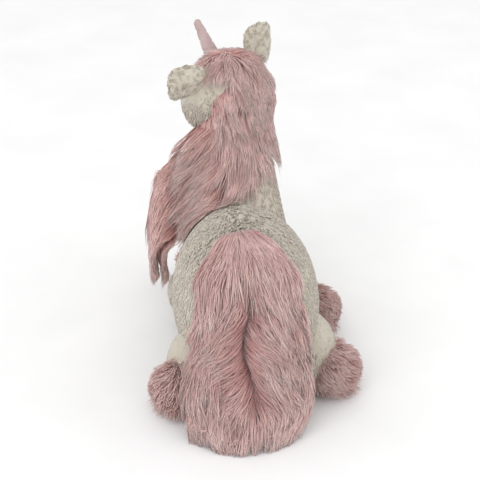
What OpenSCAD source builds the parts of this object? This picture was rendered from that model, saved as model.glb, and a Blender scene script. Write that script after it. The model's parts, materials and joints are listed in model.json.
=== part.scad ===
// Plush unicorn lying on its belly, about 53 cm long from the tail to the nose.
// Units are millimetres. +Z is up, the unicorn faces -Y and its own left side is +X.
// The origin is on the floor under the middle of the torso.
// Every sewn part is a plush cover around its own filling. A cover's size is over its pile.

/* [Torso] */
// Width of the torso at the rump
torso_w = 216; // [196:1:230]
// Height of the rump, before the belly is pressed flat
rump_h = 262; // [246:1:276]
// Height of the chest, before the belly is pressed flat
chest_h = 226; // [214:1:238]
// Length of the torso from rump to chest
torso_len = 366; // [340:1:390]
// Depth that the floor presses the belly flat
belly_flat = 9; // [5:1:14]
// Height of the seam around the belly panel
belly_seam = 30; // [22:1:38]

/* [Neck] */
// Diameter of the neck's root inside the shoulders
neck_base_d = 174; // [158:1:178]
// Diameter of the neck under the head
neck_top_d = 100; // [88:1:102]
// Length of the neck from its root's centre to the head's centre
neck_len = 238; // [222:1:256]
// Forward lean of the neck from upright, in degrees
neck_lean = 23; // [18:1:27]

/* [Head] */
// Diameter of the back of the head
head_d = 124; // [116:1:128]
// Distance from the centre of the back of the head to the tip of the nose
nose_reach = 118; // [104:1:130]
// Diameter of the muzzle behind the nose
muzzle_d = 66; // [56:1:70]
// How far the nose points down, in degrees
nose_dip = 14; // [6:1:16]
// How far the head is turned to its left, in degrees
head_yaw = 28; // [0:1:30]
// Width of the gusset along the top of the head
gusset_w = 44; // [40:1:50]

/* [Ears] */
// Length of an ear from its seam to its tip
ear_len = 60; // [54:1:68]
// Width of an ear
ear_w = 50; // [40:1:54]
// Thickness of an ear's back
ear_back_t = 7; // [5:0.5:8]
// Thickness of an ear's lining
ear_lining_t = 4; // [3:0.5:5]
// Radius that an ear is cupped to
ear_cup_r = 42; // [34:1:60]

/* [Horn] */
// Length of the horn from its seam to its tip
horn_len = 70; // [58:1:86]
// Diameter of the horn at its seam
horn_base_d = 26; // [22:1:28]
// Diameter of the horn at its rounded tip
horn_tip_d = 12; // [10:1:14]
// Thickness of the horn's satin cover
horn_cover_t = 1.5; // [1:0.25:2.5]

/* [Legs] */
// Diameter of a front leg at the shoulder
shoulder_d = 70; // [62:1:72]
// Diameter of a hind leg at the hip
hip_d = 80; // [70:1:82]
// Diameter of a leg at the ankle
ankle_d = 52; // [44:1:56]
// Diameter of a foot over its long pile
foot_d = 76; // [66:1:78]
// Length of a foot over its long pile
foot_len = 90; // [80:1:94]

/* [Mane and tail] */
// Thickness of the long pile on the neck and head
crest_t = 13; // [8:1:15]
// Thickness of the hanging half of the mane
flap_t = 18; // [10:1:20]
// Width of the tail at its widest
tail_w = 166; // [140:1:180]
// Thickness of the tail's long pile
tail_t = 20; // [12:1:24]
// Thickness of the tail's backing
tail_back_t = 4; // [3:0.5:6]
// How far the tail's end lies behind the rump
tail_trail = 44; // [30:1:60]

/* [Fabric] */
// Thickness of the short-pile plush, backing and pile together
cover_t = 6; // [4:0.5:7]
// Clearance between a seat and the part that turns in it
seat_gap = 0.8; // [0.5:0.1:1.2]
// Clearance between a cover and its filling
fill_gap = 0.4; // [0.3:0.1:0.8]
// Clearance between hanging pile and the body under it
pile_gap = 3; // [2:0.5:5]

/* [Face] */
// Diameter of a plastic eye
eye_d = 20; // [16:1:22]
// Diameter of the shank behind an eye
shank_d = 5; // [4:0.5:6]
// Length of the shank behind an eye
shank_len = 13; // [11:1:16]
// Diameter of the locking washer inside the head
washer_d = 20; // [16:1:24]
// Thickness of the locking washer
washer_t = 1.5; // [1:0.25:2]
// Thickness of the embroidery thread of the nostrils and mouth
thread_d = 2; // [1.5:0.25:3]

/* [Hidden] */
$fn = 64;

cream = [0.87, 0.84, 0.74];
pink = [0.84, 0.66, 0.66];
satin = [0.86, 0.70, 0.70];
fibre = [0.94, 0.94, 0.93];
plastic = [0.08, 0.06, 0.06];
thread = [0.72, 0.50, 0.50];
far = 900;                      // larger than any part, for cutting blocks

// ======== shared helpers ========

// Turns +Z towards a direction
module towards(d) {
    rotate([0, acos(d[2] / norm(d)), atan2(d[1], d[0])]) children();
}

// Keeps what is higher than a level
module above(z) {
    intersection() {
        children();
        translate([-far / 2, -far / 2, z]) cube([far, far, far]);
    }
}

// Keeps one side of the plane x = 0: side is 1 for the left, -1 for the right
module half(side) {
    intersection() {
        children();
        translate([side > 0 ? 0 : -far, -far / 2, -far / 2]) cube([far, far, far]);
    }
}

// Triangles of a grid of n rows and m columns whose points start at a number
function grid_faces(n, m, first, flip) = [
    for (i = [0 : n - 2]) for (j = [0 : m - 2])
        let (a = first + i * m + j, b = a + 1, c = a + m, d = c + 1)
        for (t = flip ? [[a, c, b], [b, c, d]] : [[a, b, c], [b, d, c]]) t
];

// Points around the border of a grid, in order
function border(n, m) = concat(
    [for (j = [0 : m - 1]) j],
    [for (i = [1 : n - 1]) i * m + m - 1],
    [for (j = [m - 2 : -1 : 0]) (n - 1) * m + j],
    [for (i = [n - 2 : -1 : 1]) i * m]
);

// A closed slab between two grids of points of the same size
module slab(upper, lower) {
    n = len(upper);
    m = len(upper[0]);
    edge = border(n, m);
    points = concat([for (row = upper) for (p = row) p], [for (row = lower) for (p = row) p]);
    rim = [
        for (k = [0 : len(edge) - 1])
            let (a = edge[k], b = edge[(k + 1) % len(edge)], c = a + n * m, d = b + n * m)
            for (t = [[a, c, b], [b, c, d]]) t
    ];
    polyhedron(points, concat(grid_faces(n, m, 0, false), grid_faces(n, m, n * m, true), rim));
}

// ======== torso: a tilted body of revolution, squeezed to its width ========
torso_half = torso_len / 2;
torso_y = 33;                   // middle of the torso
rump_r = rump_h / 2;
chest_r = chest_h / 2;
rump_at = 0.10;                 // where the rump is full, as a share of the half length
chest_at = -0.62;               // where the chest begins
torso_tilt = 0.6 * atan((rump_r - chest_r) / (torso_half * (rump_at - chest_at)));
torso_z = rump_r - belly_flat - sin(torso_tilt) * torso_half * rump_at;
squeeze = torso_w / rump_h;
end_power = 2.3;                // squareness of the two ends
profile_steps = 18;

function smooth(t) = let (c = max(0, min(1, t))) c * c * (3 - 2 * c);
function torso_r(u) =
    (chest_r + (rump_r - chest_r) * smooth((u - chest_at) / (rump_at - chest_at)))
    * pow(max(0, 1 - pow(abs(u), end_power)), 1 / end_power);

module torso_shape(wall = 0) {
    k_r = 1 - wall / chest_r;
    k_l = 1 - wall / torso_half;
    translate([0, torso_y, torso_z])
        rotate([torso_tilt, 0, 0])
            scale([squeeze, 1, 1])
                rotate([-90, 0, 0])
                    rotate_extrude()
                        polygon([for (i = [0 : profile_steps])
                            let (u = -cos(180 * i / profile_steps))
                            [torso_r(u) * k_r, torso_half * u * k_l]]);
}

// True for a point inside the torso
function in_torso(p) =
    let (y = p[1] - torso_y, z = p[2] - torso_z)
    let (along = y * cos(torso_tilt) + z * sin(torso_tilt))
    let (up = z * cos(torso_tilt) - y * sin(torso_tilt))
    norm([p[0] / squeeze, up]) < torso_r(max(-1, min(1, along / torso_half)))
    && abs(along) < torso_half;

// Distance from a point inside the torso to its surface, along a direction
function reach(from, d, lo = 0, hi = 400, steps = 16) =
    steps == 0 ? hi
    : in_torso(from + d * (lo + hi) / 2) ? reach(from, d, (lo + hi) / 2, hi, steps - 1)
    : reach(from, d, lo, (lo + hi) / 2, steps - 1);

// ======== seats: what turns, and where ========
neck_base_r = neck_base_d / 2;
neck_top_r = neck_top_d / 2;
neck_seat = [0, -70, 140];
neck_dir = [0, -sin(neck_lean), cos(neck_lean)];
head_seat = neck_seat + neck_len * neck_dir;
head_r = head_d / 2;

// A limb is [centre of its seat, centre of its foot, diameter at the seat]
foot_z = foot_d / 2 + 1.5;
front_left = [[74, -102, 44], [48, -188, foot_z], shoulder_d];
front_right = [[-80, -72, 44], [-117, -36, foot_z], shoulder_d];
hind_left = [[76, 112, 50], [105, 149, foot_z], hip_d];
hind_right = [[-78, 100, 50], [-119, 127, foot_z], hip_d];
limbs = [front_left, front_right, hind_left, hind_right];

// ---- limbs: a ball, a tapering tube and a long-pile foot on one axis ----
ankle_r = ankle_d / 2;
foot_r = foot_d / 2;
foot_half = foot_len / 2;

function limb_axis(limb) = limb[1] - limb[0];
// Distance from the seat to the ankle seam
function ankle_at(limb) = norm(limb_axis(limb)) - foot_half * 0.6;

module on_limb(limb) {
    translate(limb[0]) towards(limb_axis(limb)) children();
}

// The tube between the ball and the ankle, shrunk by a wall
module limb_tube(limb, wall = 0) {
    ball_r = limb[2] / 2;
    start = ball_r * 0.5;
    start_r = min(ankle_r * 1.1, sqrt(ball_r * ball_r - start * start));
    translate([0, 0, start])
        cylinder(r1 = start_r - wall, r2 = ankle_r - wall, h = max(1, ankle_at(limb) - start));
}

module limb_shape(limb, wall = 0) {
    on_limb(limb) {
        sphere(r = limb[2] / 2 - wall);
        limb_tube(limb, wall);
    }
}

module foot_ball(limb, wall = 0) {
    translate(limb[1])
        towards(limb_axis(limb))
            scale([1, 1, foot_len / foot_d])
                sphere(r = foot_r - wall);
}

// Keeps what is past the ankle seam, or before it
module past_ankle(limb, shift = 0) {
    intersection() {
        children();
        on_limb(limb)
            translate([0, 0, ankle_at(limb) + shift]) cylinder(r = far / 4, h = far / 2);
    }
}

module before_ankle(limb, shift = 0) {
    intersection() {
        children();
        on_limb(limb)
            translate([0, 0, ankle_at(limb) - shift - far / 2]) cylinder(r = far / 4, h = far / 2);
    }
}

module leg_cover(limb) {
    color(cream)
        difference() {
            before_ankle(limb) limb_shape(limb);
            before_ankle(limb, cover_t) limb_shape(limb, cover_t);
        }
}

module leg_stuffing(limb) {
    color(fibre)
        before_ankle(limb, cover_t + fill_gap) limb_shape(limb, cover_t + fill_gap);
}

module foot_cover(limb) {
    color(pink)
        difference() {
            past_ankle(limb) foot_ball(limb);
            past_ankle(limb, cover_t) foot_ball(limb, cover_t);
        }
}

module foot_stuffing(limb) {
    color(fibre)
        past_ankle(limb, cover_t + fill_gap) foot_ball(limb, cover_t + fill_gap);
}

// ---- neck: a ball in the shoulders that flares into a tube ----
neck_steps = 20;
neck_flare = 1.2;               // how soon the root narrows to the neck
neck_sweep = 8;                 // extra room in the shoulders for the neck to bend

// Radius of the neck at a distance above its seat, the wider of its ball and its flare
function neck_r(s) = max(
    sqrt(max(0, neck_base_r * neck_base_r - s * s)),
    s < 0 ? 0 : neck_top_r + (neck_base_r - neck_top_r) * pow(1 - s / neck_len, neck_flare)
);

module on_neck() {
    translate(neck_seat) towards(neck_dir) children();
}

// Half of the neck's outline, shrunk by a wall, with a hollow top that the head sits in
module neck_outline(wall) {
    bottom = neck_base_r - wall;
    difference() {
        polygon(concat(
            [for (i = [0 : neck_steps / 2])
                let (a = -90 + 90 * i / (neck_steps / 2))
                [bottom * cos(a), bottom * sin(a)]],
            [for (i = [1 : neck_steps])
                let (s = neck_len * i / neck_steps)
                [neck_r(s) - wall, s]],
            [[0, neck_len]]
        ));
        translate([0, neck_len]) circle(r = head_r + seat_gap);
    }
}

// Room that the limbs and the neck need in the torso
module seats() {
    for (limb = limbs) {
        translate(limb[0]) sphere(r = limb[2] / 2 + seat_gap);
        on_limb(limb) limb_tube(limb, -seat_gap);
    }
    translate(neck_seat) sphere(r = neck_base_r + seat_gap);
    on_neck()
        translate([0, 0, neck_base_r * 0.1])
            cylinder(r1 = neck_base_r + seat_gap - 1, r2 = neck_base_r + 2 * neck_sweep, h = neck_base_r);
}

module torso_cover() {
    difference() {
        above(0) torso_shape();
        above(cover_t) torso_shape(cover_t);
        seats();
    }
}

module torso_left_panel() {
    color(cream) half(1) above(belly_seam) torso_cover();
}

module torso_right_panel() {
    color(cream) half(-1) above(belly_seam) torso_cover();
}

module belly_panel() {
    color(cream)
        intersection() {
            torso_cover();
            translate([-far / 2, -far / 2, -1]) cube([far, far, belly_seam + 1]);
        }
}

module torso_stuffing() {
    color(fibre)
        difference() {
            above(cover_t + fill_gap) torso_shape(cover_t + fill_gap);
            seats();
        }
}

module neck_cover() {
    on_neck()
        rotate_extrude()
            difference() {
                neck_outline(0);
                neck_outline(cover_t);
            }
}

module neck_left_panel() {
    color(cream) half(1) neck_cover();
}

module neck_right_panel() {
    color(cream) half(-1) neck_cover();
}

module neck_stuffing() {
    color(fibre) on_neck() rotate_extrude() neck_outline(cover_t + fill_gap);
}

// ---- head: a ball with a muzzle, in its own frame that faces -Y ----
muzzle_r = muzzle_d / 2;
muzzle_root_r = head_r * 0.72;
nose_round = muzzle_r * 1.1;    // length of the rounded end of the nose
nose_steps = 7;
nose_dir = [0, -cos(nose_dip), -sin(nose_dip)];

module on_head() {
    translate(head_seat) rotate([0, 0, head_yaw]) children();
}

// Radius of the muzzle at a distance from the head's centre
function muzzle_at(s) =
    let (straight = nose_reach - nose_round)
    s < straight ? muzzle_root_r + (muzzle_r - muzzle_root_r) * s / straight
    : muzzle_r * sqrt(max(0, 1 - pow((s - straight) / nose_round, 2)));

module muzzle(wall = 0) {
    straight = nose_reach - nose_round;
    towards(nose_dir)
        rotate_extrude()
            polygon(concat(
                [[0, 0], [muzzle_root_r - wall, 0]],
                [for (i = [0 : nose_steps])
                    let (a = 90 * i / nose_steps)
                    [(muzzle_r - wall) * cos(a), straight + (nose_round - wall) * sin(a)]]
            ));
}

module head_shape(wall = 0) {
    sphere(r = head_r - wall);
    muzzle(wall);
}

// Eyes sit on the ball of the head: angle from straight ahead, and height
eye_out = 56;
eye_up = 16;
function eye_dir(side) =
    [side * sin(eye_out) * cos(eye_up), -cos(eye_out) * cos(eye_up), sin(eye_up)];

module on_eye(side) {
    towards(eye_dir(side)) translate([0, 0, head_r]) children();
}

// Holes for the eyes' shanks
module shank_holes() {
    for (side = [-1, 1])
        on_eye(side) translate([0, 0, -cover_t * 2]) cylinder(d = shank_d + 0.4, h = cover_t * 3);
}

// Ear roots and the horn root are small balls in dishes of the head
ear_root_r = 12;
horn_root_r = horn_base_d / 2 + 3;
ear_root = [0.76, 0.12, 0.56];
horn_up = 40;                   // height of the horn's seam on the forehead, in degrees
horn_tilt = 44;                 // height that the horn points to, in degrees
horn_root = (head_r - 3) * [0, -cos(horn_up), sin(horn_up)];
horn_dir = [0, -cos(horn_tilt), sin(horn_tilt)];

function ear_root_at(side) =
    (head_r + 1) / norm(ear_root) * [side * ear_root[0], ear_root[1], ear_root[2]];

module head_dishes(grow) {
    for (side = [-1, 1])
        translate(ear_root_at(side)) rotate([0, 0, 90 + 90 * side]) sphere(r = ear_root_r + grow);
    translate(horn_root) sphere(r = horn_root_r + grow);
}

module head_cover() {
    difference() {
        head_shape();
        head_shape(cover_t);
        head_dishes(seat_gap);
        shank_holes();
    }
}

// The strip along the top of the head, from the nose to the nape
module gusset_room() {
    translate([-gusset_w / 2, -far / 2, 0]) cube([gusset_w, far, far]);
}

module head_side(side) {
    color(cream)
        on_head()
            difference() {
                half(side) head_cover();
                gusset_room();
            }
}

module head_left_panel() {
    head_side(1);
}

module head_right_panel() {
    head_side(-1);
}

module head_gusset() {
    color(cream)
        on_head()
            intersection() {
                head_cover();
                gusset_room();
            }
}

module head_stuffing() {
    color(fibre)
        on_head()
            difference() {
                head_shape(cover_t + fill_gap);
                head_dishes(seat_gap);
                for (side = [-1, 1])
                    on_eye(side)
                        translate([0, 0, -shank_len - fill_gap])
                            cylinder(d = washer_d + 2 * fill_gap, h = shank_len);
            }
}

// ---- eyes, washers and embroidery ----
module eye(side) {
    dome_r = eye_d / 2;
    color(plastic)
        on_head()
            on_eye(side) {
                translate([0, 0, 1])
                    intersection() {
                        scale([1, 1, 0.5]) sphere(r = dome_r);
                        cylinder(r = eye_d, h = eye_d);
                    }
                translate([0, 0, -shank_len]) cylinder(d = shank_d, h = shank_len + 2);
            }
}

module eye_washer(side) {
    color(plastic)
        on_head()
            on_eye(side)
                translate([0, 0, -cover_t - fill_gap - washer_t - 1])
                    difference() {
                        cylinder(d = washer_d, h = washer_t);
                        translate([0, 0, -1]) cylinder(d = shank_d + 0.2, h = washer_t + 2);
                    }
}

module eye_left() { eye(1); }
module eye_right() { eye(-1); }
module eye_washer_left() { eye_washer(1); }
module eye_washer_right() { eye_washer(-1); }

// A half ring of thread on each side of the nose's end
nostril_r = 5;
nostril_out = 34;               // degrees out from straight ahead of the nose
nostril_turn = 30;              // degrees from the top of the nose to each side
nostril_lean = 48;              // degrees that the ring leans back on the nose
nostril_arc = 200;
module nostril_stitches() {
    straight = nose_reach - nose_round;
    s = straight + nose_round * cos(nostril_out);
    color(thread)
        on_head()
            for (side = [-1, 1])
                towards(nose_dir)
                    rotate([0, 0, 90 - side * nostril_turn])
                        translate([muzzle_at(s), 0, s])
                            rotate([0, 90 - nostril_lean, 0])
                                translate([0, 0, thread_d * 0.9])
                                    rotate([0, 0, 90])
                                        rotate_extrude(angle = nostril_arc)
                                            translate([nostril_r, 0])
                                                circle(d = thread_d, $fn = 16);
}

// A line of thread around the underside of the muzzle
mouth_back = 20;                // distance of the mouth behind the nose's rounded end
mouth_arc = 120;                // degrees that the mouth runs around the muzzle
module mouth_stitch() {
    s = nose_reach - nose_round - mouth_back;
    color(thread)
        on_head()
            towards(nose_dir)
                translate([0, 0, s])
                    rotate([0, 0, -mouth_arc / 2])
                        rotate_extrude(angle = mouth_arc)
                            translate([muzzle_at(s) + thread_d * 0.6, 0]) circle(d = thread_d, $fn = 16);
}

// ---- ears: a cupped leaf on a small ball ----
ear_steps = 14;
// Directions in the head's frame: along the ear to its tip, one drooping and one upright
ear_left_dir = [0.94, 0.10, -0.06];
ear_right_dir = [0.05, 0.06, 0.98];
ear_tilts = [-6, 51];           // the least and most that an ear tilts, in degrees
ear_gap = 0.6;                  // clearance between a tilting ear and the head
ear_full = 0.6;                 // where an ear is widest, as a share of its length

// Half width of an ear at a share of its length
function ear_half(t) =
    let (off = t < ear_full ? (ear_full - t) / (ear_full + 0.06) : (t - ear_full) / (1 - ear_full))
    ear_w / 2 * pow(max(0, 1 - pow(off, 2.5)), 1 / 2.5);

// A point on the ear's edge: side is 1 or -1
function ear_edge(t, side, shrink) =
    [side * max(0.5, ear_half(t) - shrink), ear_len * t - (t > 0.9 ? shrink : 0)];

module ear_outline(shrink) {
    polygon(concat(
        [for (i = [0 : ear_steps]) ear_edge(i / ear_steps, 1, shrink)],
        [for (i = [ear_steps : -1 : 0]) ear_edge(i / ear_steps, -1, shrink)]
    ));
}

// Places an ear: +Z runs to the tip and the cup opens to the front of the head
module on_ear(side) {
    d = side > 0 ? ear_left_dir : ear_right_dir;
    on_head()
        translate(ear_root_at(side))
            rotate([0, atan2(d[0], d[2]), 0])
                children();
}

// A cupped leaf between two radii, clear of the head wherever the ear is tilted
module ear_leaf(side, inner, outer, from, shrink) {
    difference() {
        on_ear(side)
            intersection() {
                translate([0, -ear_cup_r, 0])
                    difference() {
                        cylinder(r = outer, h = ear_len * 2);
                        translate([0, 0, -1]) cylinder(r = inner, h = ear_len * 2 + 2);
                    }
                translate([0, far / 2, from])
                    rotate([90, 0, 0]) linear_extrude(height = far) ear_outline(shrink);
                translate([-far / 2, -ear_cup_r, 0]) cube([far, far, far]);
            }
        on_head()
            for (tilt = ear_tilts)
                translate(ear_root_at(side))
                    rotate([0, tilt, 0])
                        translate(-ear_root_at(side)) sphere(r = head_r + ear_gap);
    }
}

module ear_lining_shape(side) {
    ear_leaf(side, ear_cup_r - ear_lining_t, ear_cup_r, ear_root_r * 0.5, 3);
}

module ear_back(side) {
    color(cream)
        difference() {
            union() {
                on_ear(side) sphere(r = ear_root_r);
                ear_leaf(side, ear_cup_r, ear_cup_r + ear_back_t, 0, 0);
            }
            ear_lining_shape(side);
        }
}

module ear_left_back() { ear_back(1); }
module ear_right_back() { ear_back(-1); }
module ear_left_lining() { color(cream) ear_lining_shape(1); }
module ear_right_lining() { color(cream) ear_lining_shape(-1); }

// ---- horn: a satin cone with stitched rings, on a small ball ----
horn_rings = 3;
horn_groove = 0.8;              // depth that a stitched ring draws the satin in
horn_steps = 16;

function horn_r(s) =
    horn_base_d / 2 + (horn_tip_d - horn_base_d) / 2 * s / (horn_len - horn_tip_d / 2)
    - horn_groove * pow(abs(cos(180 * (horn_rings + 0.5) * s / horn_len)), 8);

module on_horn() {
    on_head() translate(horn_root) towards(horn_dir) children();
}

module horn_shape(wall = 0) {
    straight = horn_len - horn_tip_d / 2;
    tip_r = horn_tip_d / 2 - wall;
    on_horn() {
        sphere(r = horn_root_r - wall);
        rotate_extrude()
            polygon(concat(
                [[0, 0]],
                [for (i = [0 : horn_steps]) let (s = straight * i / horn_steps) [horn_r(s) - wall, s]],
                [for (i = [0 : 5]) let (a = 15 + 15 * i) [tip_r * cos(a), straight + tip_r * sin(a)]]
            ));
    }
}

module horn_cover() {
    color(satin)
        difference() {
            horn_shape();
            horn_shape(horn_cover_t);
        }
}

module horn_stuffing() {
    color(fibre) horn_shape(horn_cover_t + fill_gap);
}

// ---- mane: a crest on the neck, a forelock on the head and a hanging flap ----
crest_left = 66;                // degrees that the crest covers left of the spine
crest_right = 78;               // degrees that the crest covers right of the spine
nape_drop = 22;                 // how far under the head's centre crest and forelock meet
nape_gap = 2.5;
crest_foot = 78;                // where the crest ends above the neck's seat

// A sector behind the neck, between two levels of its outline
module crest_outline(low, high) {
    difference() {
        intersection() {
            neck_outline(-crest_t);
            translate([0, low]) square([far, high - low]);
        }
        neck_outline(-fill_gap);
    }
}

module mane_crest() {
    color(pink)
        on_neck()
            rotate([0, 0, 180 - crest_left])
                rotate_extrude(angle = crest_left + crest_right)
                    crest_outline(crest_foot, neck_len - nape_drop - nape_gap);
}

// On the head the pile runs from the forehead over the top to the nape
forelock_w = 52;
forelock_start = head_r * 0.45; // how far ahead of the head's middle the pile begins
ear_room_r = ear_w / 2 + 23;    // room in the forelock for an ear to tilt
horn_room = 6;                  // clearance in the forelock for the horn to wobble
module forelock() {
    color(pink)
        difference() {
            translate(head_seat) sphere(r = head_r + crest_t);
            translate(head_seat) sphere(r = head_r + fill_gap);
            on_head() {
                for (side = [-1, 1])
                    translate([side > 0 ? forelock_w / 2 : -far - forelock_w / 2, -far / 2, -far / 2])
                        cube([far, far, far]);
                translate([-far / 2, -far, -far / 2]) cube([far, far - forelock_start, far]);
                for (side = [-1, 1]) translate(ear_root_at(side)) sphere(r = ear_room_r);
                translate(horn_root) sphere(r = horn_root_r + horn_room);
                translate(horn_root) towards(horn_dir) cylinder(r = horn_base_d / 2 + horn_room, h = far);
            }
            on_neck() translate([-far / 2, -far / 2, -far]) cube([far, far, far + neck_len - nape_drop]);
        }
}

// The flap hangs from a line along the neck to a free edge over the left shoulder
flap_rows = 9;
flap_columns = 9;
flap_top = [70, -140, 272];     // upper end of its seam
flap_foot = [88, -46, 178];     // lower end of its seam, at the shoulder
flap_tip = [130, -80, 62];      // lowest point of its free edge
flap_corner = [122, -128, 194]; // where the free edge turns down from the neck
flap_swell = 22;                // how far the pile stands out over the shoulder
flap_out = [0.84, 0.30, 0.45];  // the way that it swells
flap_turn = 0.65;               // where its edge turns, as a share of its height
flap_belly = 8;                 // bulge of the free edge below that
flap_rise = [14, -6, -24];      // from the top of its seam to the top of its edge
flap_thin = 0.7;                // how much less it swells at the top, as a share

function mix(a, b, t) = a + (b - a) * t;
// The free edge: from the tip up to the corner, then in towards the neck
function flap_edge(a) =
    a < flap_turn
    ? mix(flap_tip, flap_corner, a / flap_turn) + [flap_belly * sin(180 * a / flap_turn), 0, 0]
    : mix(flap_corner, flap_top + flap_rise, (a - flap_turn) / (1 - flap_turn));
function flap_mid(a, b) =
    mix(mix(flap_foot, flap_top, a), flap_edge(a), b)
    + flap_out * flap_swell * (1 - flap_thin * a) * sin(180 * pow(b, 0.8));
function flap_half(a, b) = flap_t / 2 * (0.55 + 0.45 * sin(180 * b));
function flap_grid(side) = [
    for (i = [0 : flap_rows])
        [for (j = [0 : flap_columns])
            let (a = i / flap_rows, b = j / flap_columns)
            flap_mid(a, b) + side * flap_half(a, b) * flap_out]
];

module mane_flap() {
    color(pink) slab(flap_grid(1), flap_grid(-1));
}

// ---- tail: a broad fan of pile that follows the rump down to the floor ----
tail_rows = 13;
tail_columns = 12;
tail_from = [14, 62, 118];      // point inside the rump that the fan spreads around
tail_top = 80;                  // height angle of the root, in degrees
tail_low = -6;                  // height angle where the fan leaves the rump
tail_hang = 0.72;               // share of the rows that lie on the rump
tail_root_w = 66;
tail_flare = 1.16;              // how much wider the fan is just above the floor
tail_end = 0.92;                // width of its end on the floor, as a share
tail_sag = 18;                  // dip of the fan between the rump and the floor
tail_round = 26;                // how much shorter it is at its sides
rump_back = torso_half * 0.85;  // how far the rump reaches behind that point

function tail_half_w(v) = tail_w / 2 * (
    v < 0.3 ? mix(tail_root_w / tail_w, 1, sin(90 * v / 0.3))
    : v < 0.85 ? mix(1, tail_flare, smooth((v - 0.3) / 0.55))
    : mix(tail_flare, tail_end, (v - 0.85) / 0.15));

// A point on the fan, a distance outside the rump's surface
function tail_on_rump(v, t, out) =
    let (up = mix(tail_top, tail_low, v / tail_hang))
    let (turn = asin(min(0.92, (tail_half_w(v) - tail_t / 2) / (torso_w / 2))) * t)
    let (w = [torso_w / 2 * sin(turn), rump_back * cos(turn) * cos(up), rump_r * cos(turn) * sin(up)])
    tail_from + w / norm(w) * (reach(tail_from, w / norm(w)) + out);

function tail_point(v, t, out) =
    v <= tail_hang ? tail_on_rump(v, t, out)
    : let (k = (v - tail_hang) / (1 - tail_hang))
      let (start = tail_on_rump(tail_hang, t, out))
      let (end_y = torso_y + torso_half + tail_trail - tail_round * t * t + out * 0.3)
      let (end = [tail_from[0] + t * tail_half_w(v), end_y, 3 + max(0, out - pile_gap)])
      mix(start, end, k) + [0, 0, -tail_sag * k * (1 - k)];

function tail_grid(out) = [
    for (i = [0 : tail_rows])
        [for (j = [0 : tail_columns]) tail_point(i / tail_rows, 1 - 2 * j / tail_columns, out)]
];

module tail_backing() {
    color(pink) slab(tail_grid(pile_gap + tail_back_t), tail_grid(pile_gap));
}

module tail_pile() {
    low = pile_gap + tail_back_t;
    color(pink) slab(tail_grid(low + tail_t), tail_grid(low + 0.3));
}

torso_left_panel();
torso_right_panel();
belly_panel();
torso_stuffing();
neck_left_panel();
neck_right_panel();
neck_stuffing();
head_left_panel();
head_right_panel();
head_gusset();
head_stuffing();
eye_left();
eye_right();
eye_washer_left();
eye_washer_right();
nostril_stitches();
mouth_stitch();
mane_crest();
mane_flap();
forelock();
ear_left_back();
ear_left_lining();
ear_right_back();
ear_right_lining();
horn_cover();
horn_stuffing();
tail_pile();
tail_backing();
leg_cover(front_left);  // front_left_leg_cover
leg_stuffing(front_left);  // front_left_leg_stuffing
foot_cover(front_left);  // front_left_foot_cover
foot_stuffing(front_left);  // front_left_foot_stuffing
leg_cover(front_right);  // front_right_leg_cover
leg_stuffing(front_right);  // front_right_leg_stuffing
foot_cover(front_right);  // front_right_foot_cover
foot_stuffing(front_right);  // front_right_foot_stuffing
leg_cover(hind_left);  // hind_left_leg_cover
leg_stuffing(hind_left);  // hind_left_leg_stuffing
foot_cover(hind_left);  // hind_left_foot_cover
foot_stuffing(hind_left);  // hind_left_foot_stuffing
leg_cover(hind_right);  // hind_right_leg_cover
leg_stuffing(hind_right);  // hind_right_leg_stuffing
foot_cover(hind_right);  // hind_right_foot_cover
foot_stuffing(hind_right);  // hind_right_foot_stuffing
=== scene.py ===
# %% [markdown]
# # A plush unicorn lying on its belly
# This notebook dresses a sewn toy whose solid parts are already made. Every cover of the
# toy is a padded skin, and fur grows on it as thousands of fine closed locks. The fur could
# be particle hair, but hair is lost when a model is exported, so each lock is a real mesh.

# %% Load the solid parts
import json
import bpy
import numpy as np
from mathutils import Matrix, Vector


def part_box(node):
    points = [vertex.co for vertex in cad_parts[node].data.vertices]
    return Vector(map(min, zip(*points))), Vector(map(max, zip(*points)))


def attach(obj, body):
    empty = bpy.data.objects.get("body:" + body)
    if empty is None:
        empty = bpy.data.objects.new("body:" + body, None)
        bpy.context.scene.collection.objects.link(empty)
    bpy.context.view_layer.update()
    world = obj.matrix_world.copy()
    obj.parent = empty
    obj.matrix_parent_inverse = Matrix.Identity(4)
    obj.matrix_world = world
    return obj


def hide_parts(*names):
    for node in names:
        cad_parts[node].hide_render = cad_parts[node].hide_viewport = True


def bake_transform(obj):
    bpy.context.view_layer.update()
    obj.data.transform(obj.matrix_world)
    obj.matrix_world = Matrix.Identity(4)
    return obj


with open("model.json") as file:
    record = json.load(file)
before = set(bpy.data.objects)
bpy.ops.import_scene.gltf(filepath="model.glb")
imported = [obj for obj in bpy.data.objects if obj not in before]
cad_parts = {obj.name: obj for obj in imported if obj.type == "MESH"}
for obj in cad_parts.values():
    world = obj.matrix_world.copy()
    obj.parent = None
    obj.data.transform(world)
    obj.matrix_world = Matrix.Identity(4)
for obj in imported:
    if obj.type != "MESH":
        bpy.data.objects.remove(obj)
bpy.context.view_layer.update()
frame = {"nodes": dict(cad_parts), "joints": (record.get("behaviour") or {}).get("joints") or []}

random = np.random.default_rng(11)

# %% [markdown]
# Every joint of the toy is a seam between two stuffed parts. Its place and its axis are in
# the record, so the skins are built around those points and turn with them.

# %% Seams and main measures, in metres
joints = {j["name"]: j for j in frame["joints"]}


def seam(name):
    """The point that a joint turns about."""
    return np.array(joints[name]["pos_m"], float)


def unit(v):
    """Vectors scaled to length one, along the last axis."""
    v = np.asarray(v, float)
    return v / np.maximum(np.linalg.norm(v, axis=-1, keepdims=True), 1e-9)


def corners(*nodes):
    """Lowest and highest corner of several solid parts together."""
    boxes = [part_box(n) for n in nodes]
    return np.min([b[0] for b in boxes], 0), np.max([b[1] for b in boxes], 0)


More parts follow.
